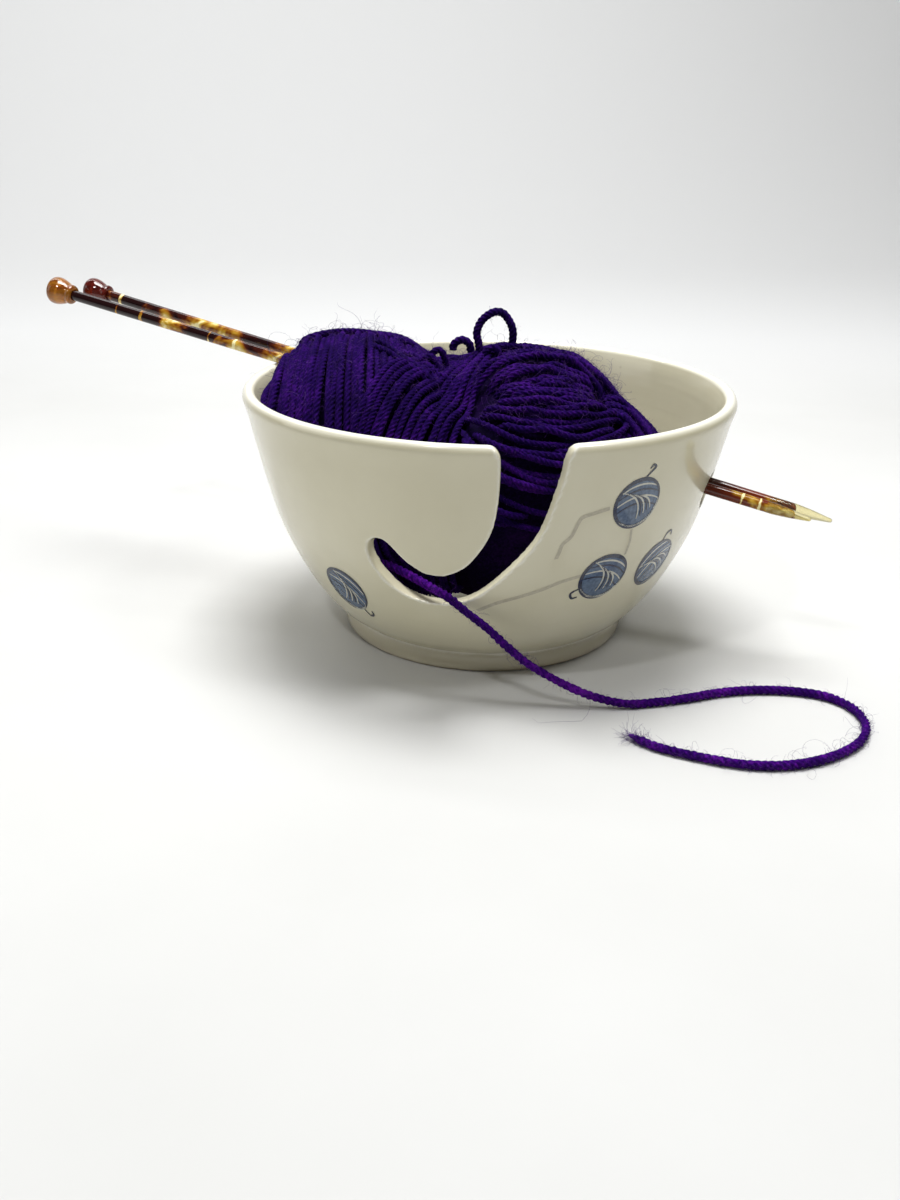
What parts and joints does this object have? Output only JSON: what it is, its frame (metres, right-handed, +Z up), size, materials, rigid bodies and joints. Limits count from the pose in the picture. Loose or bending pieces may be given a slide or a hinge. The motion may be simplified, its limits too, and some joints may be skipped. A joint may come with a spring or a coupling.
{
  "type": "yarn bowl with needles and yarn",
  "caption": "Cream glazed stoneware yarn bowl with a curved yarn slot, a needle hole, a pair of tortoiseshell knitting needles and a skein of purple wool.",
  "frame": {"origin": "centre of the foot, on the surface the bowl stands on", "axes": "+Z up along the bowl's turning axis, -Y towards the side with the yarn slot"},
  "size_m": [0.2935, 0.1969, 0.1131],
  "materials": {
    "glaze": "gloss",
    "tortoiseshell": "gloss",
    "amber": "gloss",
    "burgundy": "gloss",
    "yarn": "matte"
  },
  "bodies": {
    "bowl": {"bowl": "glaze", "skein_left_lobe": "yarn", "skein_waist": "yarn", "skein_right_lobe": "yarn", "pull_loop_tall": "yarn", "pull_loop_small": "yarn", "yarn_tail": "yarn"},
    "front_needle": {"front_needle_shaft": "tortoiseshell", "front_needle_knob": "amber"},
    "back_needle": {"back_needle_shaft": "tortoiseshell", "back_needle_knob": "burgundy"}
  },
  "joints": [
    {"name": "front_needle_slide", "type": "slide", "parent": "bowl", "child": "front_needle", "axis": [-0.9268, 0.3276, 0.1837], "range_m": [0, 0.205]},
    {"name": "back_needle_slide", "type": "slide", "parent": "bowl", "child": "back_needle", "axis": [-0.9153, 0.3594, 0.1817], "range_m": [0, 0.205]}
  ]
}
